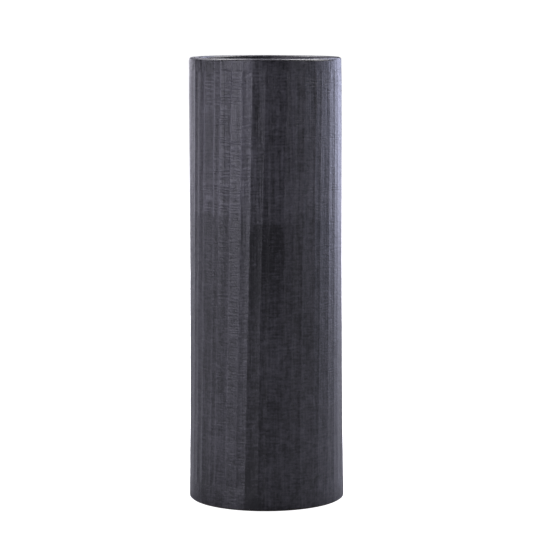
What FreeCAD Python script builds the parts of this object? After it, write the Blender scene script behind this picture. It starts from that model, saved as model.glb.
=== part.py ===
"""Hand-built stoneware cylinder vase with vertically shaved flutes.

Millimetres, +Z up. The origin is the middle of the circle that the vase stands on, and the
front of the vase faces -Y. The pot is put together as a potter does it: a thick clay tube,
a floor slab set into a rebate under it, a coil worked into the inside corner, a rim coil
luted on top with slip, and then a satin glaze outside and a gloss glaze inside.
"""

import FreeCAD, Part
import Sketcher

import math
import os
import re

# ---------------------------------------------------------------- driving dimensions

SIZES = [
    ("total_height", 355.0, "table to the top of the glazed rim"),
    ("rim_radius", 60.6, "outside of the glaze at the top band and the rim"),
    ("waist_radius", 60.9, "outside of the ridges at waist_level"),
    ("band_radius", 62.1, "outside of the glaze where the foot band meets the flutes"),
    ("foot_radius", 62.2, "outside of the glaze at the foot"),
    ("waist_level", 150.0, "level of the slimmest stretch of the wall"),
    ("flute_low", 11.5, "level where the flutes stop above the foot"),
    ("flute_high", 347.5, "level where the flutes start under the rim"),
    ("ridge_drop", 0.06, "how far the ridges lie inside the plain bands"),
    ("blade_radius", 46.0, "edge radius of the loop tool that shaved the flutes"),
    ("glaze", 0.5, "thickness of the outer glaze"),
    ("glaze_line", 1.2, "bare clay below this level at the foot"),
    ("glaze_meet", 347.0, "level inside the mouth where the two glazes meet"),
    ("lined_radius", 52.2, "inside of the lining, from the corner coil to the rim"),
    ("bore_radius", 52.8, "inside of the clay tube"),
    ("foot_round", 1.0, "rounding of the outer edge of the foot"),
    ("slip", 0.4, "thickness of a luted joint"),
    ("floor_under", 1.5, "how far the floor slab clears the table"),
    ("floor_thick", 7.5, "floor slab"),
    ("rebate_radius", 56.0, "rebate in the tube that takes the floor slab"),
    ("coil_leg", 7.0, "height and width of the corner coil"),
    ("floor_glaze", 0.5, "lining on the floor and the corner coil"),
    ("coil_edge", 0.6, "thickness of the corner coil at its worked-out edges"),
    ("glaze_run", 1.2, "length over which the lining thins out beside the corner coil"),
    ("wall_top", 349.0, "top face of the clay tube"),
    ("tongue_mid", 56.1, "middle radius of the tongue on the tube's top face"),
    ("tongue_wide", 2.0, "width of the tongue"),
    ("tongue_tall", 1.2, "height of the tongue"),
    ("rim_outer_round", 2.2, "rounding of the rim coil, outside"),
    ("rim_inner_round", 1.8, "rounding of the rim coil, inside"),
]

FLUTES = 44           # shaved bands round the tube
FIRST_RIDGE = 261.2   # polar angle of the first ridge, degrees
RIDGE_WANDER = 0.2    # how unevenly a hand spaces the ridges, in pitches
WANDER_STEP = 2.4     # phase step of that unevenness from ridge to ridge, radians
LEAN = 4.5            # how far the strokes drift from rim to table, degrees
LEAN_SWING = 3.0      # how much more they drift in front than behind
FRONT = 265.0         # polar angle of the front, where they drift most

doc = FreeCAD.newDocument("vase")
sheet = doc.addObject("Spreadsheet::Sheet", "sizes")
for row, (alias, value, note) in enumerate(SIZES, start=1):
    sheet.set(f"A{row}", alias)
    sheet.set(f"B{row}", str(value))
    sheet.set(f"C{row}", note)
    sheet.setAlias(f"B{row}", alias)
doc.recompute()

# ---------------------------------------------------------------- helpers

X_AXIS, Y_AXIS = -1, -2       # a sketch's own axes, as Sketcher numbers them
ORIGIN = (-1, 1)
START, END, CENTRE = 1, 2, 3
DIMENSION = re.compile(r"\b(" + "|".join(alias for alias, _, _ in SIZES) + r")\b")


def bound(formula):
    """The formula with every dimension's name pointing at its cell."""
    return DIMENSION.sub(r"sizes.\1", formula)


def value_of(formula):
    return float(sheet.evalExpression(bound(formula)))


def new_body(label, level=None):
    """A body whose own z = 0 stands at the given level of the vase."""
    body = doc.addObject("PartDesign::Body", label)
    body.Label = label
    body.Placement = FreeCAD.Placement()
    if level:
        body.setExpression("Placement.Base.z", bound(level))
    return body


def new_sketch(body, name, plane, level=None):
    sketch = body.newObject("Sketcher::SketchObject", name)
    support = next(f for f in body.Origin.OriginFeatures if f.Role == plane)
    sketch.AttachmentSupport = [(support, "")]
    sketch.MapMode = "FlatFace"
    if level:
        sketch.setExpression("AttachmentOffset.Base.z", bound(level))
    return sketch


def vertex_rule(geo, end, axis, formula):
    """Hold one coordinate of a vertex, X or Y, at a formula's value."""
    if formula == "0":
        line = Y_AXIS if axis == "X" else X_AXIS
        return Sketcher.Constraint("PointOnObject", geo, end, line), None
    rule = Sketcher.Constraint(f"Distance{axis}", *ORIGIN, geo, end, value_of(formula))
    return rule, formula


def add_rules(sketch, rules):
    """Add (constraint, formula or None) pairs and bind each formula to its constraint."""
    sketch.addConstraint([rule for rule, _ in rules])
    for index, (_, formula) in enumerate(rules):
        if formula is not None:
            sketch.setExpression(f"Constraints[{index}]", bound(formula))
    sketch.Visibility = False


def section_sketch(body, name, corners, arcs):
    """A closed half section in the XZ plane.

    corners lists (radius, height) formulas in order. arcs maps the number of a corner to
    (radius formula, centre radius, centre height, clockwise) of the arc that leaves it.
    A run whose two ends share a formula is held vertical or horizontal instead.
    """
    sketch = new_sketch(body, name, "XZ_Plane")
    points = [FreeCAD.Vector(value_of(r), value_of(z), 0) for r, z in corners]
    ends = []                 # which end of each run leaves a corner, and which arrives
    for i, here in enumerate(points):
        there = points[(i + 1) % len(points)]
        if i not in arcs:
            sketch.addGeometry(Part.LineSegment(here, there))
            ends.append((START, END))
            continue
        radius, centre_r, centre_z, clockwise = arcs[i]
        centre = FreeCAD.Vector(value_of(centre_r), value_of(centre_z), 0)
        first, last = (there, here) if clockwise else (here, there)
        angles = [math.atan2(p.y - centre.y, p.x - centre.x) for p in (first, last)]
        if angles[1] < angles[0]:
            angles[1] += 2 * math.pi
        circle = Part.Circle(centre, FreeCAD.Vector(0, 0, 1), value_of(radius))
        sketch.addGeometry(Part.ArcOfCircle(circle, *angles))
        ends.append((END, START) if clockwise else (START, END))
    rules = []
    for i, (_, arrives) in enumerate(ends):
        after = (i + 1) % len(points)
        joined = Sketcher.Constraint("Coincident", i, arrives, after, ends[after][0])
        rules.append((joined, None))
    for i, corner in enumerate(corners):
        straight = i > 0 and i - 1 not in arcs
        for part, axis, direction in ((0, "X", "Vertical"), (1, "Y", "Horizontal")):
            formula = corner[part]
            if straight and formula != "0" and corners[i - 1][part] == formula:
                rules.append((Sketcher.Constraint(direction, i - 1), None))
            else:
                rules.append(vertex_rule(i, ends[i][0], axis, formula))
    for i, (radius, *_) in arcs.items():
        rules.append((Sketcher.Constraint("Radius", i, value_of(radius)), radius))
    add_rules(sketch, rules)
    return sketch


def revolve(body, name, corners, arcs=None):
    """Turn a half section once round the vase's axis."""
    sketch = section_sketch(body, f"{name}_section", corners, arcs or {})
    feature = body.newObject("PartDesign::Revolution", name)
    feature.Profile = sketch
    feature.ReferenceAxis = (sketch, ["V_Axis"])
    feature.Angle = 360.0
    doc.recompute()
    return feature


def ridge_angle(k, level):
    """Polar angle of ridge k in degrees at a level.

    The steps are even, each set a little off by hand, and every stroke of the tool drifts
    sideways on its way down.
    """
    turn = FIRST_RIDGE + 360.0 / FLUTES * (k + RIDGE_WANDER * math.sin(WANDER_STEP * k))
    drift = LEAN + LEAN_SWING * math.cos(math.radians(turn - FRONT))
    return turn - drift * (1.0 - level / value_of("total_height"))


def flute_sketch(body, name, level, ridge_radius, blade):
    """The wall's outline at one level: a closed ring of shallow hollow arcs.

    Each arc runs from one ridge to the one before it, about a centre outside the wall.
    """
    sketch = new_sketch(body, name, "XY_Plane", level)
    radius, edge = value_of(ridge_radius), value_of(blade)
    turns = [ridge_angle(k, value_of(level)) for k in range(FLUTES)]
    for low, high in zip(turns, turns[1:] + [turns[0] + 360.0]):
        low, high = math.radians(low), math.radians(high)
        half = (high - low) / 2
        mid = (high + low) / 2
        out = radius * math.cos(half) + math.sqrt(edge**2 - (radius * math.sin(half)) ** 2)
        opening = math.asin(radius * math.sin(half) / edge)
        circle = Part.Circle(
            FreeCAD.Vector(out * math.cos(mid), out * math.sin(mid), 0),
            FreeCAD.Vector(0, 0, 1),
            edge,
        )
        inward = mid + math.pi
        sketch.addGeometry(Part.ArcOfCircle(circle, inward - opening, inward + opening))
    rules = []
    for k in range(FLUTES):
        after = (k + 1) % FLUTES
        rules.append((Sketcher.Constraint("Coincident", k, START, after, END), None))
        for axis, turn in (("X", "cos"), ("Y", "sin")):
            formula = f"({ridge_radius}) * {turn}({turns[k]:.3f})"
            rules.append(vertex_rule(k, END, axis, formula))
        rules.append((Sketcher.Constraint("Radius", k, edge), blade))
    add_rules(sketch, rules)
    return sketch


def flute_loft(body, name, kind, inset, blade):
    """Loft the fluted stretch through its foot, waist and top outlines."""
    stations = [
        ("foot", "flute_low", "band_radius"),
        ("waist", "waist_level", "waist_radius"),
        ("top", "flute_high", "rim_radius"),
    ]
    outlines = [
        flute_sketch(body, f"{name}_{where}", level, f"{radius} - ridge_drop - {inset}", blade)
        for where, level, radius in stations
    ]
    loft = body.newObject(f"PartDesign::{kind}", name)
    loft.Profile = outlines[0]
    loft.Sections = outlines[1:]
    loft.Ruled = False
    loft.Closed = False
    doc.recompute()
    return loft


def edge_at(shape, radius, height):
    """Name of the round edge at one radius and height of a turned solid."""
    for number, edge in enumerate(shape.Edges, start=1):
        point = edge.Vertexes[0].Point
        flat = abs(edge.BoundBox.ZLength) < 1e-4
        if (flat and abs(math.hypot(point.x, point.y) - radius) < 1e-3
                and abs(point.z - height) < 1e-3):
            return f"Edge{number}"
    raise ValueError(f"no round edge at radius {radius}, height {height}")


# ---------------------------------------------------------------- clay tube

CLAY_RIM = "rim_radius - glaze"
wall = new_body("fluted_wall")
flute_loft(wall, "shaved_tube", "AdditiveLoft", "glaze", "blade_radius + glaze")

bore_section = section_sketch(wall, "bore_section", [
    ("0", "flute_low"),
    ("bore_radius", "flute_low"),
    ("bore_radius", "flute_high"),
    ("0", "flute_high"),
], {})
solid_tube = wall.Shape.Volume
bored = wall.newObject("PartDesign::Groove", "bored_tube")
bored.Profile = bore_section
bored.ReferenceAxis = (bore_section, ["V_Axis"])
bored.Angle = 360.0
doc.recompute()
if wall.Shape.Volume > 0.5 * solid_tube:
    raise SystemExit("the bore did not cut the tube")

# The foot band, with the rebate for the floor slab cut up into it from below.
SHOULDER = "floor_under + floor_thick + slip"
revolve(wall, "foot_band", [
    ("rebate_radius", "0"),
    ("foot_radius - glaze", "0"),
    ("band_radius - glaze", "flute_low"),
    ("bore_radius", "flute_low"),
    ("bore_radius", SHOULDER),
    ("rebate_radius", SHOULDER),
])

# The top band, with the tongue that keys the rim coil.
TONGUE_IN = "tongue_mid - tongue_wide / 2"
TONGUE_OUT = "tongue_mid + tongue_wide / 2"
revolve(wall, "top_band", [
    ("bore_radius", "flute_high"),
    (CLAY_RIM, "flute_high"),
    (CLAY_RIM, "wall_top"),
    (TONGUE_OUT, "wall_top"),
    (TONGUE_OUT, "wall_top + tongue_tall"),
    (TONGUE_IN, "wall_top + tongue_tall"),
    (TONGUE_IN, "wall_top"),
    ("bore_radius", "wall_top"),
])

foot_edge = wall.newObject("PartDesign::Fillet", "foot_rounding")
foot_edge.Base = (
    wall.getObject("top_band"),
    [edge_at(wall.Shape, value_of("foot_radius - glaze"), 0.0)],
)
foot_edge.setExpression("Radius", bound("foot_round"))
doc.recompute()

# ---------------------------------------------------------------- floor

floor = new_body("floor_slab", "floor_under")
revolve(floor, "slab_disc", [
    ("0", "0"),
    ("rebate_radius - slip", "0"),
    ("rebate_radius - slip", "floor_thick"),
    ("0", "floor_thick"),
])

# Slip fills the joint round the slab's edge and over its shoulder.
floor_seam = new_body("floor_slip_seam", "floor_under")
revolve(floor_seam, "seam_ring", [
    ("rebate_radius - slip", "0"),
    ("rebate_radius", "0"),
    ("rebate_radius", "floor_thick + slip"),
    ("bore_radius", "floor_thick + slip"),
    ("bore_radius", "floor_thick"),
    ("rebate_radius - slip", "floor_thick"),
])

# The coil pressed into the corner and wiped to a hollow quarter round.
FLOOR_TOP = "floor_under + floor_thick"
COIL_TOP = f"{FLOOR_TOP} + coil_leg"
COIL_CENTRE = "bore_radius - coil_leg"
coil = new_body("corner_coil", FLOOR_TOP)
revolve(
    coil,
    "coil_ring",
    [
        (COIL_CENTRE, "0"),
        ("bore_radius", "0"),
        ("bore_radius", "coil_leg"),
        (f"{COIL_CENTRE} + coil_leg - coil_edge", "coil_leg"),
        (COIL_CENTRE, "coil_edge"),
    ],
    {3: ("coil_leg - coil_edge", COIL_CENTRE, "coil_leg", True)},
)

# ---------------------------------------------------------------- rim

SEAM_IN = "tongue_mid - tongue_wide / 2 - slip"
SEAM_OUT = "tongue_mid + tongue_wide / 2 + slip"
RIM_SEAT = "wall_top + slip"
rim_seam = new_body("rim_slip_seam", "wall_top")
revolve(rim_seam, "seam_ring", [
    (TONGUE_OUT, "0"),
    (CLAY_RIM, "0"),
    (CLAY_RIM, "slip"),
    (SEAM_OUT, "slip"),
    (SEAM_OUT, "tongue_tall + slip"),
    (SEAM_IN, "tongue_tall + slip"),
    (SEAM_IN, "slip"),
    ("bore_radius", "slip"),
    ("bore_radius", "0"),
    (TONGUE_IN, "0"),
    (TONGUE_IN, "tongue_tall"),
    (TONGUE_OUT, "tongue_tall"),
])

# Where the rim's two roundings start, and their centres, by radius.
CLAY_TOP = "total_height - glaze"
OUT_LEVEL = f"{CLAY_TOP} - rim_outer_round"
OUT_CENTRE = "rim_radius - glaze - rim_outer_round"
IN_LEVEL = f"{CLAY_TOP} - rim_inner_round"
IN_CENTRE = "bore_radius + rim_inner_round"

rim = new_body("rim_coil", RIM_SEAT)


def above_seat(level):
    return f"{level} - ({RIM_SEAT})"


revolve(
    rim,
    "coil_ring",
    [
        (SEAM_OUT, "0"),
        (CLAY_RIM, "0"),
        (CLAY_RIM, above_seat(OUT_LEVEL)),
        (OUT_CENTRE, above_seat(CLAY_TOP)),
        (IN_CENTRE, above_seat(CLAY_TOP)),
        ("bore_radius", above_seat(IN_LEVEL)),
        ("bore_radius", "0"),
        (SEAM_IN, "0"),
        (SEAM_IN, "tongue_tall"),
        (SEAM_OUT, "tongue_tall"),
    ],
    {
        2: ("rim_outer_round", OUT_CENTRE, above_seat(OUT_LEVEL), False),
        4: ("rim_inner_round", IN_CENTRE, above_seat(IN_LEVEL), False),
    },
)

# ---------------------------------------------------------------- glazes

outer = new_body("outer_glaze")
flute_loft(outer, "glazed_flutes", "AdditiveLoft", "0", "blade_radius")
full = outer.Shape.Volume
flute_loft(outer, "clay_inside", "SubtractiveLoft", "glaze", "blade_radius + glaze")
if outer.Shape.Volume > 0.1 * full:
    raise SystemExit("the glaze was not hollowed")

# From the glaze line up the foot band.
LINE_RADIUS = "foot_radius - (foot_radius - band_radius) * glaze_line / flute_low"
revolve(outer, "glazed_foot_band", [
    (f"{LINE_RADIUS} - glaze", "glaze_line"),
    (LINE_RADIUS, "glaze_line"),
    ("band_radius", "flute_low"),
    ("band_radius - glaze", "flute_low"),
])

# Up the top band, over the rim and a little way down inside the mouth.
LINED_CENTRE = "lined_radius + rim_inner_round + glaze"
revolve(
    outer,
    "glazed_rim",
    [
        (CLAY_RIM, "flute_high"),
        ("rim_radius", "flute_high"),
        ("rim_radius", OUT_LEVEL),
        (OUT_CENTRE, "total_height"),
        (LINED_CENTRE, "total_height"),
        ("lined_radius", IN_LEVEL),
        ("lined_radius", "glaze_meet"),
        ("bore_radius", "glaze_meet"),
        ("bore_radius", IN_LEVEL),
        (IN_CENTRE, CLAY_TOP),
        (OUT_CENTRE, CLAY_TOP),
        (CLAY_RIM, OUT_LEVEL),
    ],
    {
        2: ("rim_outer_round + glaze", OUT_CENTRE, OUT_LEVEL, False),
        4: ("rim_inner_round + glaze", LINED_CENTRE, IN_LEVEL, False),
        8: ("rim_inner_round", IN_CENTRE, IN_LEVEL, True),
        10: ("rim_outer_round", OUT_CENTRE, OUT_LEVEL, True),
    },
)

# The lining runs down the wall, over the corner coil and across the floor.
COIL_FACE = f"{COIL_CENTRE} + coil_leg - coil_edge"
inner = new_body("inner_glaze")
revolve(
    inner,
    "lining",
    [
        ("0", FLOOR_TOP),
        (COIL_CENTRE, FLOOR_TOP),
        (COIL_CENTRE, f"{FLOOR_TOP} + coil_edge"),
        (COIL_FACE, COIL_TOP),
        ("bore_radius", COIL_TOP),
        ("bore_radius", "glaze_meet"),
        ("lined_radius", "glaze_meet"),
        ("lined_radius", f"{COIL_TOP} + glaze_run"),
        (f"{COIL_FACE} - floor_glaze", COIL_TOP),
        (COIL_CENTRE, f"{FLOOR_TOP} + coil_edge + floor_glaze"),
        (f"{COIL_CENTRE} - glaze_run", f"{FLOOR_TOP} + floor_glaze"),
        ("0", f"{FLOOR_TOP} + floor_glaze"),
    ],
    {
        2: ("coil_leg - coil_edge", COIL_CENTRE, COIL_TOP, False),
        8: ("coil_leg - coil_edge - floor_glaze", COIL_CENTRE, COIL_TOP, True),
    },
)

# ---------------------------------------------------------------- check and write

doc.recompute()
failed = [o.Name for o in doc.Objects if {"Invalid", "Error"} & set(o.State)]
if failed:
    raise SystemExit(f"failed objects: {failed}")

bodies = [o for o in doc.Objects if o.TypeId == "PartDesign::Body"]
for body in bodies:
    shape = body.Shape
    if shape.isNull() or not shape.isValid() or len(shape.Solids) != 1:
        raise SystemExit(f"{body.Label}: not one valid solid")

os.makedirs("parts", exist_ok=True)
for body in bodies:
    body.Shape.exportStep(f"parts/{body.Label}.step")
    box = body.Shape.BoundBox
    print(f"{body.Label:16} {body.Shape.Volume / 1000:8.2f} cm3"
          f"  {box.XLength:7.2f} x {box.YLength:7.2f} x {box.ZLength:7.2f} mm"
          f"  from z {box.ZMin:.2f}")
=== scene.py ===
"""Stoneware cylinder vase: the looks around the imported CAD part.

Metres, in the CAD frame: +Z up, the front faces -Y, and the vase stands on z = 0.
"""

import math

import bpy
import numpy as np
from mathutils import Matrix, Vector


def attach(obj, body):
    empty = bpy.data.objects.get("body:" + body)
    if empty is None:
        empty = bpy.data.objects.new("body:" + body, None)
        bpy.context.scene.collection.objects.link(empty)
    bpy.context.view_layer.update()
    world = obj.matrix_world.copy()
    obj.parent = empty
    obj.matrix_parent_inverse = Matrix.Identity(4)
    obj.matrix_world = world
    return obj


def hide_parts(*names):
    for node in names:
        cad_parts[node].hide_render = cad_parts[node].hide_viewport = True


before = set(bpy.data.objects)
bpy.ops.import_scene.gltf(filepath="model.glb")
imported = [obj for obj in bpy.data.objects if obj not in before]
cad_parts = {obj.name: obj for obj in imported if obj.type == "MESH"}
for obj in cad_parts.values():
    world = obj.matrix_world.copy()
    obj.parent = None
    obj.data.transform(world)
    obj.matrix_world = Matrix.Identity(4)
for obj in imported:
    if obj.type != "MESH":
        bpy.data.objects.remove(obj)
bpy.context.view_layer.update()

MM = 0.001
rng = np.random.default_rng(7)

# ---------------------------------------------------------------- sizes, in millimetres

TALL = 355.0
RIM_R = 60.65         # outside of the glaze at the rim
BODY_R = 60.87        # outside of the ridges high up the wall
FOOT_FLARE, FLARE_FADE = 1.75, 100.0      # how far the wall spreads toward the foot
RIM_BLEND_FROM, RIM_BLEND = 332.0, 16.0   # the body's radius passes into the rim's over this
FLUTE_LOW, FLUTE_HIGH = 11.5, 347.5
GLAZE = 0.45          # skin between the glaze's outside and the clay
GLAZE_LINE = 1.2      # bare clay below this
FOOT_EDGE = 1.25      # the lowest ring of the glaze's face
GLAZE_MEET = 347.0    # where the two glazes meet inside the mouth
LINED_R, BORE_R = 52.2, 52.8
SLIT = 0.05           # left behind a skin, in the bore and on the floor
RIM_OUT, RIM_IN = 2.2, 1.9          # roundings of the glazed rim
FLOOR_TOP, FLOOR_GLAZE = 9.0, 0.5
COIL_LEG, COIL_EDGE = 7.0, 0.6

FLUTES = 44
FIRST_RIDGE = 261.2                       # polar angle of ridge 0 at the top, degrees
RIDGE_WANDER, WANDER_STEP = 0.2, 2.4      # uneven spacing: share of a band, radians a ridge
LEAN, LEAN_SWING, FRONT = 4.5, 3.0, 265.0     # degrees a ridge turns going down, most at FRONT
RIDGE_DROP = 0.03                         # ridges lie this far inside the plain bands
RUN_OUT = 9.0                             # a stroke leaves the clay over this height
PAINTED_LIGHT_EDGE = 231.0                              # the glaze is painted lighter above this height: a painted reflection step where a softbox's reflection ends
LOOKS_R, LINING_LOOKS_R = 60.0, 50.0      # radii at which the noise is read


def smooth(t):
    t = np.clip(t, 0.0, 1.0)
    return t * t * (3.0 - 2.0 * t)


def waves(points, scale, seed, count=7):
    """Smooth unit noise at points (n, d): a few random plane waves of about one length."""
    r = np.random.default_rng(seed)
    d = points.shape[-1]
    total = np.zeros(points.shape[:-1])
    for _ in range(count):
        k = r.normal(size=d)
        k *= 2 * math.pi / scale / np.linalg.norm(k) * r.uniform(0.6, 1.5)
        total += np.sin(points @ k + r.uniform(0, 2 * math.pi))
    return total / math.sqrt(count / 2)


# ---------------------------------------------------------------- the wall's outside

def wall_radius(z):
    """Outside radius at the ridges: almost straight, spreading toward the foot."""
    body = BODY_R + FOOT_FLARE * np.exp(-np.maximum(z, FLUTE_LOW) / FLARE_FADE)
    return body + (RIM_R - body) * smooth((z - RIM_BLEND_FROM) / RIM_BLEND)


RIDGE = np.arange(FLUTES + 1)
WRAP = RIDGE % FLUTES            # the last ridge is the first again
base_turn = FIRST_RIDGE + 360.0 / FLUTES * (RIDGE + RIDGE_WANDER * np.sin(WANDER_STEP * WRAP))
drift = LEAN + LEAN_SWING * np.cos(np.radians(base_turn - FRONT))
wobble_a = rng.uniform(-0.28, 0.28, FLUTES)[WRAP]      # sideways wander of each stroke
wobble_b = rng.uniform(-0.16, 0.16, FLUTES)[WRAP]
wobble_p = rng.uniform(0, 6.28, FLUTES)[WRAP]          # where along it the wander starts
ridge_low = rng.uniform(0.0, 0.07, FLUTES)[WRAP]       # how far each ridge is cut down
hollow = rng.uniform(0.08, 0.28, FLUTES)               # depth under the chord
hollow[38:42] += 0.10                                  # cut deeper at the front left
hollow[33:38] *= 0.6                                   # and shallower at either side
hollow[6:11] *= 0.5
start_at = FLUTE_HIGH - 0.4 + rng.uniform(-1.2, 0.9, FLUTES)
stop_at = FLUTE_LOW + 1.0 + rng.uniform(-1.0, 3.2, FLUTES)
run_top = rng.uniform(2.2, 5.5, FLUTES)                # how long each stroke takes to bite
light_edge_at = PAINTED_LIGHT_EDGE + rng.uniform(-5.0, 4.0, FLUTES)

# Where the columns of a band stand, as shares of its width: close beside the ridges.
SHARES = np.array([0.0, 0.07, 0.16, 0.28, 0.40, 0.50, 0.60, 0.72, 0.84, 0.93])
PER = len(SHARES)
COLS = FLUTES * PER
band_of = np.repeat(np.arange(FLUTES), PER)
share_of = np.tile(SHARES, FLUTES)


def ridge_turns(z):
    """Polar angle of every ridge at each height, degrees: (rows, FLUTES + 1)."""
    z = z[:, None]
    turns = base_turn - drift * (1 - z / TALL)
    turns = turns + wobble_a * np.sin(z / 47.0 + wobble_p) + wobble_b * np.sin(
        z / 17.0 + 2 * wobble_p)
    return turns


def outside_grid(z):
    """Angle, radius, flute depth and ridge share of the outside: arrays (rows, COLS)."""
    turns = ridge_turns(z)
    low, high = turns[:, band_of], turns[:, band_of + 1]
    angle = np.radians(low + (high - low) * share_of)
    half = np.radians(high - low) / 2
    t = 2 * share_of - 1
    full = wall_radius(z)[:, None]
    cut = ridge_low[band_of] * (1 - share_of) + ridge_low[band_of + 1] * share_of
    chord = (full - RIDGE_DROP - cut) * np.cos(half) / np.cos(t * half)
    flute = chord - hollow[band_of] * 4 * share_of * (1 - share_of)
    # run in under the rim, and run out above the foot
    zc = z[:, None]
    run_in = smooth((start_at[band_of] + 0.3 - zc) / run_top[band_of])
    run_out = smooth((zc - stop_at[band_of] + 1.5) / RUN_OUT)
    depth = run_in * run_out
    # the flutes' ends are rounded: they reach less far beside the ridges
    corner = np.abs(t) ** 4
    depth = depth * (1 - corner * (1 - smooth((start_at[band_of] - 1.0 - zc) / 2.5)))
    radius = full * (1 - depth) + flute * depth
    place = np.stack([LOOKS_R * np.cos(angle), LOOKS_R * np.sin(angle), zc + 0 * angle], -1)
    inside_flutes = smooth((zc - 4) / 10) * smooth((352 - zc) / 6)
    radius = radius + 0.035 * waves(place, 46, 11) * inside_flutes
    radius = radius + 0.018 * waves(place, 15, 12) * inside_flutes * depth
    ridge = np.exp(-((1 - np.abs(t)) * 4.2 / 0.34) ** 2) + 0 * radius
    return angle, radius, depth, ridge


# Rows: foot edge and foot band, flutes, top band; rim_profile adds the rim and the mouth.
foot_rows = np.array([FOOT_EDGE, 1.5, 2.0, 3.0, 4.6, 6.2, 7.8])
low_rows = np.arange(9.0, 22.0, 1.0)
body_rows = np.linspace(22.0, 342.0, 150)
top_rows = np.arange(343.0, 352.31, 0.62)
ROWS = np.concatenate([foot_rows, low_rows, body_rows, top_rows])


def rim_profile():
    """(radius, height) over the rim and down into the mouth, from the last outside row."""
    out = []
    for a in np.linspace(0, 90, 8)[1:]:
        a = math.radians(a)
        out.append((RIM_R - RIM_OUT + RIM_OUT * math.cos(a),
                    TALL - RIM_OUT + RIM_OUT * math.sin(a)))
    for a in np.linspace(90, 180, 8):
        a = math.radians(a)
        out.append((LINED_R + RIM_IN + RIM_IN * math.cos(a),
                    TALL - RIM_IN + RIM_IN * math.sin(a)))
    out += [(LINED_R, 350.4), (LINED_R, 348.4), (LINED_R, GLAZE_MEET)]
    # then back down the clay side of the skin
    out += [(BORE_R - SLIT, GLAZE_MEET), (BORE_R - SLIT, 352.8),
            (BORE_R + 1.0, TALL - GLAZE), (RIM_R - 2.0, TALL - GLAZE),
            (RIM_R - GLAZE, 353.0)]
    return out


angle, radius, depth, ridge = outside_grid(ROWS)
angles, radii = list(angle), list(radius)
heights = [np.full(COLS, z) for z in ROWS]
looks_depth, looks_ridge = list(depth), list(ridge)


def add_ring(ring_angle, ring_radius, z):
    """One more ring of the skin, with no flutes to its looks."""
    angles.append(ring_angle)
    radii.append(ring_radius)
    heights.append(np.full(COLS, z))
    looks_depth.append(np.zeros(COLS))
    looks_ridge.append(np.zeros(COLS))


for r, z in rim_profile():
    add_ring(angle[-1], np.full(COLS, r), z)
# the clay side of the wall, top to bottom, then closed at the foot
for z in (349.0, 346.0, 300.0, 240.0, 180.0, 120.0, 60.0, 22.0, 12.0, 6.0, GLAZE_LINE):
    wall_angle, wall_r, _, _ = outside_grid(np.array([max(z, FOOT_EDGE)]))
    add_ring(wall_angle[0], wall_r[0] - GLAZE, z)
# the glaze's lower edge rolls under a little
wall_angle, wall_r, _, _ = outside_grid(np.array([FOOT_EDGE]))
add_ring(wall_angle[0], wall_r[0] - 0.16, GLAZE_LINE - 0.1)

angles, radii, heights = np.array(angles), np.array(radii), np.array(heights)
looks_depth, looks_ridge = np.array(looks_depth), np.array(looks_ridge)

# The rim was cut by hand: a hair lower to the right, and never quite level.
near_rim = smooth((heights - 338.0) / 14.0)
tilt = -0.19 * (1 + np.cos(angles)) + 0.05 * np.sin(3 * angles + 1.0)
heights = heights + np.minimum(tilt, 0.0) * near_rim
# and the glaze's lower edge wanders
edge_wander = 0.12 * np.sin(5 * angles + 0.4) + 0.09 * np.sin(11 * angles + 2.0)
foot_edge = smooth((3.0 - heights) / 1.6)
heights = heights + edge_wander * foot_edge

# ---------------------------------------------------------------- what the glaze looks like

band_grid = np.broadcast_to(band_of, radii.shape)
share_grid = np.broadcast_to(share_of, radii.shape)
spot = np.stack([LOOKS_R * np.cos(angles), LOOKS_R * np.sin(angles), heights], -1)

low_tone_painted_light = rng.uniform(-1, 1, FLUTES)
high_tone_painted_light = rng.uniform(-1, 1, FLUTES)
# random tone per band, with painted light added at the front: a painted highlight on the bands at the
# front left, most in their upper part, where the key light falls, and painted shade on the bands just
# right of the front
for band, painted_tone in ((40, 0.8), (41, 2.0), (42, 3.6), (43, 5.0), (0, 0.2), (1, -0.4), (2, -0.6)):
    high_tone_painted_light[band] = painted_tone
for band, painted_tone in ((42, 1.2), (43, 1.8), (0, -2.6), (1, -2.2), (2, -1.0)):
    low_tone_painted_light[band] = painted_tone
# upper: share above the painted reflection step; the tones above and below it differ, and the upper
# part is painted lighter
upper = smooth((heights - light_edge_at[band_grid]) / 3.0 + 0.5)
tone_and_painted_light = (high_tone_painted_light[band_grid] * upper + low_tone_painted_light[band_grid] * (1 - upper)) * (
    0.7 + 0.3 * waves(spot, 90, 21))

# The tool chatters: a ripple across each band, its strength in patches.
pitch = rng.uniform(2.9, 4.0, FLUTES)[band_grid]
slant = rng.uniform(-0.22, 0.22, FLUTES)[band_grid]
cycles = heights / pitch + slant * (share_grid - 0.5) + rng.uniform(0, 1, FLUTES)[band_grid]
cycles = cycles + 0.5 * waves(spot[..., 2:], 19, 22) + 0.12 * waves(spot, 30, 26)
patch_offset = rng.uniform(0, 200, FLUTES)[band_grid]
patches = waves(np.stack([patch_offset * 3 + 0 * heights, heights + patch_offset], -1), 34, 23)
broad = waves(spot, 60, 24)
chatter = 0.25 + 0.75 * smooth(0.5 + 0.4 * patches + 0.25 * broad)
chatter = chatter * looks_depth * (1 - 0.6 * looks_ridge) * (0.6 + 0.5 * upper)
chattered = np.zeros(FLUTES)
chattered[39:44] = 1.2                                 # the upper front left chattered most
chatter = chatter * (1 + chattered[band_grid] * upper)
faint = 0.25 * smooth((heights - 2.5) / 6) * smooth((351 - heights) / 4) * (1 - looks_depth)
chatter = chatter + faint * smooth(0.5 + 0.5 * broad)

rim_mask = smooth((heights - 352.2) / 1.0)
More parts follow.
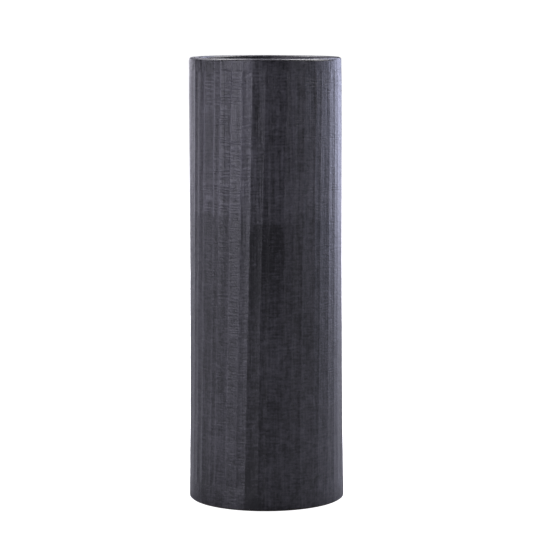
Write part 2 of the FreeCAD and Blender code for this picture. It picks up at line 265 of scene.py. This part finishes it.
# ridges lighter where the glaze thins, plus a painted highlight: strongest at the left and higher up,
# where the light falls, and hardly at all in the shade just right of the front
ridge_wear_and_highlight = np.full(FLUTES, 0.55)
ridge_wear_and_highlight[33:43] = 1.5
ridge_wear_and_highlight[0:7] = 0.12
ridge_wear_and_highlight[43] = 0.8
ridge_wear_and_highlight = ridge_wear_and_highlight[band_grid] * (0.35 + 0.65 * upper)
worn_and_highlight = looks_ridge * ridge_wear_and_highlight
shoulder_wear_and_highlight = np.abs(2 * share_grid - 1) ** 3 * looks_depth * ridge_wear_and_highlight


def add_float(mesh, name, values):
    layer = mesh.attributes.new(name, "FLOAT", "POINT")
    layer.data.foreach_set("value", np.ascontiguousarray(values, np.float32).ravel())


def lathe(name, angles, radii, heights, closed_rows, flip=False):
    """A closed mesh of rings: the last ring joins the first, or both ends close on the axis."""
    rows, cols = radii.shape
    xyz = np.stack([radii * np.cos(angles), radii * np.sin(angles), heights], -1)
    verts = xyz.reshape(-1, 3) * MM
    i = np.arange(rows if closed_rows else rows - 1)
    j = np.arange(cols)
    i, j = np.meshgrid(i, j, indexing="ij")
    i2, j2 = (i + 1) % rows, (j + 1) % cols
    quads = np.stack([i * cols + j, i * cols + j2, i2 * cols + j2, i2 * cols + j], -1)
    quads = quads.reshape(-1, 4)
    faces = quads.tolist()
    if not closed_rows:
        first, last = len(verts), len(verts) + 1
        ends = np.array([[0, 0, heights[0].mean()], [0, 0, heights[-1].mean()]]) * MM
        verts = np.vstack([verts, ends])
        top = (rows - 1) * cols
        for c in range(cols):
            n = (c + 1) % cols
            faces.append((first, n, c))
            faces.append((last, top + c, top + n))
    if flip:
        faces = [face[::-1] for face in faces]
    mesh = bpy.data.meshes.new(name)
    mesh.from_pydata(verts.tolist(), [], faces)
    mesh.polygons.foreach_set("use_smooth", np.ones(len(faces), bool))
    mesh.update()
    obj = bpy.data.objects.new(name, mesh)
    bpy.context.scene.collection.objects.link(obj)
    return obj


glaze_skin = lathe("vase_outer_glaze", angles, radii, heights, True)
for label, values in (
    ("ridge", looks_ridge), ("shoulder_wear_and_highlight", shoulder_wear_and_highlight), ("worn_and_highlight", worn_and_highlight), ("tone_and_painted_light", tone_and_painted_light),
    ("cycles", cycles), ("chatter", chatter), ("rim", rim_mask), ("upper", upper),
):
    add_float(glaze_skin.data, label, values)

# ---------------------------------------------------------------- the lining

LINE_COLS = 180
centre_r, centre_z = BORE_R - COIL_LEG, FLOOR_TOP + COIL_LEG
cove = COIL_LEG - COIL_EDGE - FLOOR_GLAZE
profile = [(r, FLOOR_TOP + FLOOR_GLAZE) for r in (3.5, 8, 13, 18, 23, 28, 33, 38, 42.0, 44.2)]
for a in np.linspace(90, 0, 11):
    a = math.radians(a)
    profile.append((centre_r + cove * math.cos(a), centre_z - cove * math.sin(a)))
profile += [(LINED_R, z) for z in np.linspace(18.5, GLAZE_MEET - 1.5, 96)]
profile += [(LINED_R, GLAZE_MEET)]
shown = len(profile)
clay_side = BORE_R - SLIT
profile += [(clay_side, GLAZE_MEET), (clay_side, 240.0), (clay_side, 120.0), (clay_side, 17.0),
            (BORE_R - 0.7, 10.5), (44.0, FLOOR_TOP + SLIT), (3.5, FLOOR_TOP + SLIT)]
profile = np.array(profile)
line_angle = np.broadcast_to(np.linspace(0, 2 * math.pi, LINE_COLS, endpoint=False),
                             (len(profile), LINE_COLS))
line_r = np.repeat(profile[:, :1], LINE_COLS, 1)
line_z = np.repeat(profile[:, 1:], LINE_COLS, 1)
spots = np.stack([LINING_LOOKS_R * np.cos(line_angle), LINING_LOOKS_R * np.sin(line_angle),
                  line_z], -1)
is_face = np.arange(len(profile))[:, None] < shown
on_wall = smooth((line_z - 20) / 12) * smooth((344 - line_z) / 20) * is_face
# finger and rib marks inside: soft rings that climb as a spiral
rings = np.sin(2 * math.pi * line_z / 21.0 + line_angle + 0.6 * waves(spots, 80, 31))
line_r = line_r + (-0.16 - 0.12 * rings - 0.05 * waves(spots, 25, 32)) * on_wall
flat = np.stack([line_r * np.cos(line_angle), line_r * np.sin(line_angle), line_z], -1)
on_floor = is_face * (line_z < FLOOR_TOP + 1.0)
line_z = line_z + on_floor * (0.08 * waves(flat, 24, 33) + 0.1)
lining = lathe("vase_lining", line_angle, line_r, line_z, False, flip=True)


# ---------------------------------------------------------------- materials

GLAZE_IOR = 1.52
GLAZE_DARK, GLAZE_LIGHT = (0.0112, 0.0108, 0.0126, 1), (0.115, 0.111, 0.128, 1)
LINING_DARK, LINING_LIGHT = (0.0060, 0.0058, 0.0075, 1), (0.0160, 0.0150, 0.0180, 1)
CLAY_DARK, CLAY_LIGHT = (0.055, 0.047, 0.042, 1), (0.120, 0.105, 0.092, 1)
GROG = (0.24, 0.21, 0.18, 1)


def new_material(name):
    mat = bpy.data.materials.new(name)
    mat.use_nodes = True
    nodes, links = mat.node_tree.nodes, mat.node_tree.links
    nodes.clear()
    out = nodes.new("ShaderNodeOutputMaterial")
    shader = nodes.new("ShaderNodeBsdfPrincipled")
    links.new(shader.outputs["BSDF"], out.inputs["Surface"])
    return mat, nodes, links, shader


class Graph:
    """Short names for the few node kinds the materials use."""

    def __init__(self, nodes, links):
        self.nodes, self.links = nodes, links

    def put(self, socket, value):
        if isinstance(value, bpy.types.NodeSocket):
            self.links.new(value, socket)
        else:
            socket.default_value = value

    def math(self, kind, a, b=0.0, c=0.0, clamp=False):
        node = self.nodes.new("ShaderNodeMath")
        node.operation, node.use_clamp = kind, clamp
        for socket, value in zip(node.inputs, (a, b, c)):
            self.put(socket, value)
        return node.outputs[0]

    def attribute(self, name):
        node = self.nodes.new("ShaderNodeAttribute")
        node.attribute_name = name
        return node.outputs["Fac"]

    def coords(self, scale):
        coord = self.nodes.new("ShaderNodeTexCoord")
        mapping = self.nodes.new("ShaderNodeMapping")
        mapping.inputs["Scale"].default_value = scale
        self.links.new(coord.outputs["Object"], mapping.inputs["Vector"])
        return mapping.outputs["Vector"]

    def noise(self, scale, detail, rough, stretch=(1, 1, 1)):
        node = self.nodes.new("ShaderNodeTexNoise")
        node.inputs["Scale"].default_value = scale
        node.inputs["Detail"].default_value = detail
        node.inputs["Roughness"].default_value = rough
        self.links.new(self.coords(stretch), node.inputs["Vector"])
        return node.outputs["Fac"]

    def ramp(self, value, low, high, to_low=0.0, to_high=1.0):
        node = self.nodes.new("ShaderNodeMapRange")
        node.inputs["From Min"].default_value = low
        node.inputs["From Max"].default_value = high
        node.inputs["To Min"].default_value = to_low
        node.inputs["To Max"].default_value = to_high
        self.links.new(value, node.inputs["Value"])
        return node.outputs["Result"]

    def mix(self, share, a, b):
        node = self.nodes.new("ShaderNodeMix")
        node.data_type = "RGBA"
        self.put(node.inputs["Factor"], share)
        self.put(node.inputs[6], a)
        self.put(node.inputs[7], b)
        return node.outputs[2]

    def layer(self, base, parts):
        """base plus each part times its strength."""
        for part, strength in parts:
            base = self.math("MULTIPLY_ADD", part, strength, base)
        return base

    def bump(self, height, distance):
        node = self.nodes.new("ShaderNodeBump")
        node.inputs["Strength"].default_value = 1.0
        node.inputs["Distance"].default_value = distance
        self.links.new(height, node.inputs["Height"])
        return node.outputs["Normal"]


def outer_glaze_material():
    mat, nodes, links, shader = new_material("satin_charcoal_glaze")
    g = Graph(nodes, links)
    ridge, tone_and_painted_light, upper = g.attribute("ridge"), g.attribute("tone_and_painted_light"), g.attribute("upper")
    chatter, cycles, rim = g.attribute("chatter"), g.attribute("cycles"), g.attribute("rim")
    shoulder_wear_and_highlight, worn_and_highlight = g.attribute("shoulder_wear_and_highlight"), g.attribute("worn_and_highlight")

    def about_zero(value):
        return g.math("SUBTRACT", value, 0.5)

    clouds = about_zero(g.noise(26, 3.0, 0.55, (1, 1, 0.5)))          # 40 mm drifts of tone
    blotch = about_zero(g.noise(190, 3.0, 0.6, (1, 1, 0.7)))          # 5 mm patches
    mottle = about_zero(g.noise(560, 2.0, 0.6))                       # 2 mm speckle
    streaks = about_zero(g.noise(640, 2.0, 0.6, (1, 1, 0.05)))        # drag lines, up and down
    drags = about_zero(g.noise(300, 2.0, 0.6, (1, 1, 0.05)))          # wider drags, higher up
    drags = g.math("MULTIPLY", drags, upper)
    scratch = about_zero(g.noise(520, 2.0, 0.6, (0.3, 0.3, 1.3)))     # short level scratches

    # ripple: a wave with its crests sharpened, wavering from place to place
    waver = g.math("MULTIPLY", about_zero(g.noise(300, 2.0, 0.5, (0.35, 0.35, 1))), 0.8)
    turn = g.math("MULTIPLY", g.math("ADD", cycles, waver), 2 * math.pi)
    wave = g.math("SINE", turn)
    lifted = g.math("MULTIPLY_ADD", wave, 0.5, 0.5)
    crest = g.math("POWER", lifted, 1.5)
    gate = g.ramp(g.noise(170, 2.0, 0.5, (1, 1, 0.8)), 0.34, 0.60)
    ripple = g.math("MULTIPLY", g.math("MULTIPLY", crest, chatter), gate)
    # beads on the ridges also carry the painted ridge highlight
    beads_and_highlight = g.math("MULTIPLY", worn_and_highlight, g.ramp(g.noise(330, 2.0, 0.6), 0.35, 0.62, 0.25, 1.2))

    # colour: near black, a little violet, thinner and lighter on ridges and crests; the ridge
    # lightening is partly a painted highlight, the band tones carry painted highlight and shade, and
    # the upper part is painted lighter as a painted reflection
    value = g.layer(0.26, (
        (clouds, 0.9), (tone_and_painted_light, 0.10), (upper, 0.16), (blotch, 0.9), (shoulder_wear_and_highlight, 0.34),
        (streaks, 0.9), (drags, 1.3), (mottle, 0.9), (scratch, 0.9), (beads_and_highlight, 0.70),
        (ripple, 0.34)))
    value = g.math("MULTIPLY", value, 0.72, clamp=True)
    links.new(g.mix(value, GLAZE_DARK, GLAZE_LIGHT), shader.inputs["Base Color"])

    rough = g.layer(0.38, ((clouds, 0.25), (mottle, 0.30), (ridge, -0.04)))
    rough = g.math("MULTIPLY_ADD", rim, -0.05, rough, clamp=True)
    links.new(rough, shader.inputs["Roughness"])

    height = g.layer(g.math("MULTIPLY", ripple, 0.6), (
        (scratch, 1.2), (streaks, 1.0), (drags, 2.2), (mottle, 0.8), (blotch, 1.2),
        (beads_and_highlight, 0.3)))
    calm = g.math("MULTIPLY_ADD", rim, -0.97, 1.0)      # the rim was wiped smooth
    height = g.math("MULTIPLY", height, calm)
    links.new(g.bump(height, 0.00018), shader.inputs["Normal"])
    shader.inputs["IOR"].default_value = GLAZE_IOR
    return mat


def lining_material():
    mat, nodes, links, shader = new_material("black_gloss_lining")
    g = Graph(nodes, links)
    clouds = g.noise(40, 3.0, 0.5)
    pits = g.noise(900, 2.0, 0.5)
    colour = g.mix(g.ramp(clouds, 0.3, 0.7), LINING_DARK, LINING_LIGHT)
    links.new(colour, shader.inputs["Base Color"])
    links.new(g.ramp(clouds, 0.2, 0.8, 0.20, 0.32), shader.inputs["Roughness"])
    links.new(g.bump(pits, 0.00003), shader.inputs["Normal"])
    shader.inputs["IOR"].default_value = GLAZE_IOR
    return mat


def clay_material():
    mat, nodes, links, shader = new_material("bare_dark_stoneware")
    g = Graph(nodes, links)
    body = g.noise(60, 4.0, 0.6)
    grog = g.noise(1300, 2.0, 0.5)
    grain = g.noise(3500, 2.0, 0.6)
    value = g.math("MULTIPLY_ADD", g.math("SUBTRACT", grain, 0.5), 0.8,
                   g.ramp(body, 0.3, 0.7, 0.1, 0.7), clamp=True)
    colour = g.mix(value, CLAY_DARK, CLAY_LIGHT)
    fleck = g.ramp(grog, 0.66, 0.72)
    colour = g.mix(fleck, colour, GROG)
    links.new(colour, shader.inputs["Base Color"])
    links.new(g.ramp(grain, 0.3, 0.7, 0.78, 0.94), shader.inputs["Roughness"])
    height = g.math("MULTIPLY_ADD", grog, 0.6, grain)
    links.new(g.bump(height, 0.00010), shader.inputs["Normal"])
    return mat


glaze_skin.data.materials.append(outer_glaze_material())
lining.data.materials.append(lining_material())
clay_mat = clay_material()

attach(glaze_skin, "root")
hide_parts("outer_glaze")
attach(lining, "root")
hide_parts("inner_glaze")

for name in ("fluted_wall", "floor_slab", "corner_coil", "rim_coil",
             "rim_slip_seam", "floor_slip_seam"):
    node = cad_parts[name]
    node.data.materials.clear()
    node.data.materials.append(clay_mat)

# ---------------------------------------------------------------- floor and light

FLOOR_HALF, FLOOR_DROP = 60.0, 0.0003     # metres: half its side, and its gap under the foot
FLOOR_GLOW, PAPER_GLOW, ROOM_GLOW = 1.02, 1.2, 0.02
FLOOR_GREY, ROOM_TINT = (0.34, 0.34, 0.37), (0.90, 0.93, 1.0)


def area_light(name, place, aim, width, height, power, colour):
    data = bpy.data.lights.new(name, "AREA")
    data.shape = "RECTANGLE"
    data.size, data.size_y = width, height
    data.energy, data.color = power, colour
    light = bpy.data.objects.new(name, data)
    light.location = place
    light.rotation_euler = (Vector(aim) - Vector(place)).to_track_quat("-Z", "Y").to_euler()
    light.visible_camera = False
    bpy.context.scene.collection.objects.link(light)


def by_camera_ray(nodes, links, unseen, seen, out):
    """Camera rays meet the shader seen; every other ray meets the shader unseen."""
    path = nodes.new("ShaderNodeLightPath")
    pick = nodes.new("ShaderNodeMixShader")
    links.new(path.outputs["Is Camera Ray"], pick.inputs["Fac"])
    links.new(unseen.outputs[0], pick.inputs[1])
    links.new(seen.outputs[0], pick.inputs[2])
    links.new(pick.outputs[0], out.inputs["Surface"])


def coloured(nodes, kind, colour, strength=None):
    node = nodes.new(kind)
    node.inputs["Color"].default_value = (*colour, 1)
    if strength is not None:
        node.inputs["Strength"].default_value = strength
    return node


def floor_material():
    """White to camera rays, and a soft grey to the rays that light the glaze."""
    mat = bpy.data.materials.new("pale_floor")
    mat.use_nodes = True
    nodes, links = mat.node_tree.nodes, mat.node_tree.links
    nodes.clear()
    out = nodes.new("ShaderNodeOutputMaterial")
    paint = coloured(nodes, "ShaderNodeBsdfDiffuse", (0.9, 0.9, 0.9))
    glow = coloured(nodes, "ShaderNodeEmission", (1, 1, 1), FLOOR_GLOW)
    both = nodes.new("ShaderNodeAddShader")
    links.new(paint.outputs[0], both.inputs[0])
    links.new(glow.outputs[0], both.inputs[1])
    grey = coloured(nodes, "ShaderNodeBsdfDiffuse", FLOOR_GREY)
    by_camera_ray(nodes, links, grey, both, out)
    return mat


floor_mesh = bpy.data.meshes.new("floor")
floor_mesh.from_pydata(
    [(x * FLOOR_HALF, y * FLOOR_HALF, 0) for x, y in ((-1, -1), (1, -1), (1, 1), (-1, 1))],
    [], [(0, 1, 2, 3)])
floor = bpy.data.objects.new("floor", floor_mesh)
floor.location.z = -FLOOR_DROP
floor_mesh.materials.append(floor_material())
bpy.context.scene.collection.objects.link(floor)

world = bpy.data.worlds.new("studio")
world.use_nodes = True
world_nodes, world_links = world.node_tree.nodes, world.node_tree.links
world_nodes.clear()
world_out = world_nodes.new("ShaderNodeOutputWorld")
room = coloured(world_nodes, "ShaderNodeBackground", ROOM_TINT, ROOM_GLOW)
paper = coloured(world_nodes, "ShaderNodeBackground", (1, 1, 1), PAPER_GLOW)
by_camera_ray(world_nodes, world_links, room, paper, world_out)
bpy.context.scene.world = world


def around(turn, distance, height):
    """A place round the vase: turn is degrees to the right of the camera's side."""
    a = math.radians(turn)
    return (distance * math.sin(a), -distance * math.cos(a), height)


VIOLET, COOL, WHITE = (0.88, 0.865, 1.0), (0.70, 0.73, 1.0), (1.0, 0.99, 1.0)
PANEL_DISTANCE, PANEL_WIDE = 2.0, 0.70
LOW, MIDDLE, HIGH = (0.31, 0.58), (0.90, 0.58), (1.60, 0.80)     # centre and height of a panel
OVERHEAD_OUT, OVERHEAD_UP, OVERHEAD_WIDE = 1.4, 2.3, 1.2


def panels(name, turns, level, power, colour):
    """Soft panels side by side round the vase, all facing it."""
    centre, tall = level
    for turn in turns:
        area_light("%s_%d" % (name, turn % 360), around(turn, PANEL_DISTANCE, centre),
                   (0, 0, centre), PANEL_WIDE, tall, power, colour)


panels("key_low", (-50,), LOW, 5.8, VIOLET)
panels("key_edge", (-30,), LOW, 1.3, VIOLET)
panels("key_middle", (-50, -30), MIDDLE, 4.6, VIOLET)
panels("side_left", (-90,), LOW, 3.4, VIOLET)
panels("back_left_low", (-170, -150), LOW, 2.7, VIOLET)
panels("back_left_middle", (-150,), MIDDLE, 0.7, VIOLET)
panels("high_left", (-110, -90), HIGH, 6.5, VIOLET)
panels("high_back_left", (-170, -150, -130), HIGH, 2.8, VIOLET)
panels("front_right_low", (50,), LOW, 1.4, VIOLET)
panels("front_right_middle", (50,), MIDDLE, 1.4, VIOLET)
panels("side_right", (90, 110), LOW, 2.0, COOL)
panels("back_right_low", (130, 150), LOW, 4.5, COOL)
panels("back_right_middle", (150,), MIDDLE, 4.0, COOL)
panels("high_right", (90, 110), HIGH, 12.0, WHITE)
panels("high_back_right", (130, 150, 170), HIGH, 4.2, COOL)
for turn, power in ((135, 54.0), (225, 40.0)):
    x, y, z = around(turn, OVERHEAD_OUT, OVERHEAD_UP)
    area_light("overhead_%d" % turn, (x, y, z), (x, y, 0), OVERHEAD_WIDE, OVERHEAD_WIDE, power, WHITE)

# ---------------------------------------------------------------- camera

CAMERA_PLACE = (0.0005, -1.868, 0.407)
CAMERA_LENS = 158.03
CAMERA_DOWN, CAMERA_ROLL = math.radians(6.718), math.radians(0.204)

camera = bpy.data.cameras.new("camera")
camera.sensor_width = 36.0
camera.lens = CAMERA_LENS
camera.clip_start, camera.clip_end = 0.05, 500.0
view = bpy.data.objects.new("camera", camera)
view.location = CAMERA_PLACE
look = Matrix.Rotation(math.radians(90) - CAMERA_DOWN, 4, "X")
view.rotation_mode = "QUATERNION"
view.rotation_quaternion = (look @ Matrix.Rotation(-CAMERA_ROLL, 4, "Z")).to_quaternion()
bpy.context.scene.collection.objects.link(view)
bpy.context.scene.camera = view
bpy.context.scene.view_settings.view_transform = "Standard"
